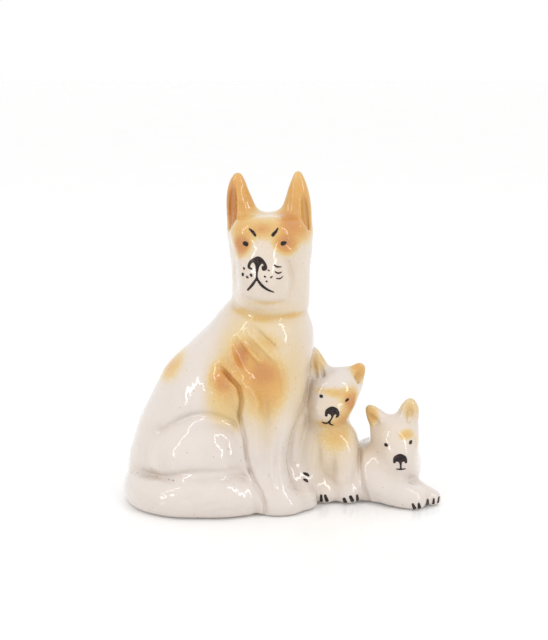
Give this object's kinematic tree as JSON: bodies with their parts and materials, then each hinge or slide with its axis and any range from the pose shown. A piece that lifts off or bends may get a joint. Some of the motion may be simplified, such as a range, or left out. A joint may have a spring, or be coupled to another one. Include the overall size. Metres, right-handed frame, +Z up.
{
  "type": "porcelain dog figurine",
  "caption": "Glazed porcelain figurine of a sitting mother dog with a sitting and a lying puppy against her side, with airbrushed patches and raised black face marks.",
  "frame": {"origin": "under the middle of the whole group, on the surface it stands on", "axes": "+Z up, the faces look towards -Y, +X to the side of the puppies"},
  "size_m": [0.1594, 0.0768, 0.1673],
  "materials": {
    "porcelain": "clear glossy glaze over an ivory body with amber airbrushed patches",
    "amber_porcelain": "clear glossy glaze over an amber airbrushed body",
    "black_enamel": "glossy raised enamel stroke"
  },
  "bodies": {
    "root": {"mother_body": "porcelain", "mother_tail": "porcelain", "mother_head": "porcelain", "mother_left_ear": "amber_porcelain", "mother_right_ear": "amber_porcelain", "mother_left_eye": "black_enamel", "mother_right_eye": "black_enamel", "mother_left_brow": "black_enamel", "mother_right_brow": "black_enamel", "mother_nose_and_mouth": "black_enamel", "mother_left_whisker_1": "black_enamel", "mother_left_whisker_2": "black_enamel", "mother_left_whisker_3": "black_enamel", "mother_left_whisker_4": "black_enamel", "mother_right_whisker_1": "black_enamel", "mother_right_whisker_2": "black_enamel", "mother_right_whisker_3": "black_enamel", "mother_right_whisker_4": "black_enamel", "mother_whisker_line_1": "black_enamel", "mother_whisker_line_2": "black_enamel", "mother_whisker_line_3": "black_enamel", "sitting_puppy_body": "porcelain", "sitting_puppy_forepaw_claw_1": "black_enamel", "sitting_puppy_forepaw_claw_2": "black_enamel", "sitting_puppy_left_hind_claw_1": "black_enamel", "sitting_puppy_left_hind_claw_2": "black_enamel", "sitting_puppy_right_hind_claw_1": "black_enamel", "sitting_puppy_right_hind_claw_2": "black_enamel", "sitting_puppy_right_hind_claw_3": "black_enamel", "sitting_puppy_head": "porcelain", "sitting_puppy_left_ear": "amber_porcelain", "sitting_puppy_right_ear": "amber_porcelain", "sitting_puppy_left_eye": "black_enamel", "sitting_puppy_right_eye": "black_enamel", "sitting_puppy_nose_and_mouth": "black_enamel", "lying_puppy_body": "porcelain", "lying_puppy_claw_1": "black_enamel", "lying_puppy_claw_2": "black_enamel", "lying_puppy_claw_3": "black_enamel", "lying_puppy_claw_4": "black_enamel", "lying_puppy_claw_5": "black_enamel", "lying_puppy_head": "porcelain", "lying_puppy_left_ear": "amber_porcelain", "lying_puppy_right_ear": "amber_porcelain", "lying_puppy_left_eye": "black_enamel", "lying_puppy_right_eye": "black_enamel", "lying_puppy_nose_and_mouth": "black_enamel"}
  },
  "joints": []
}
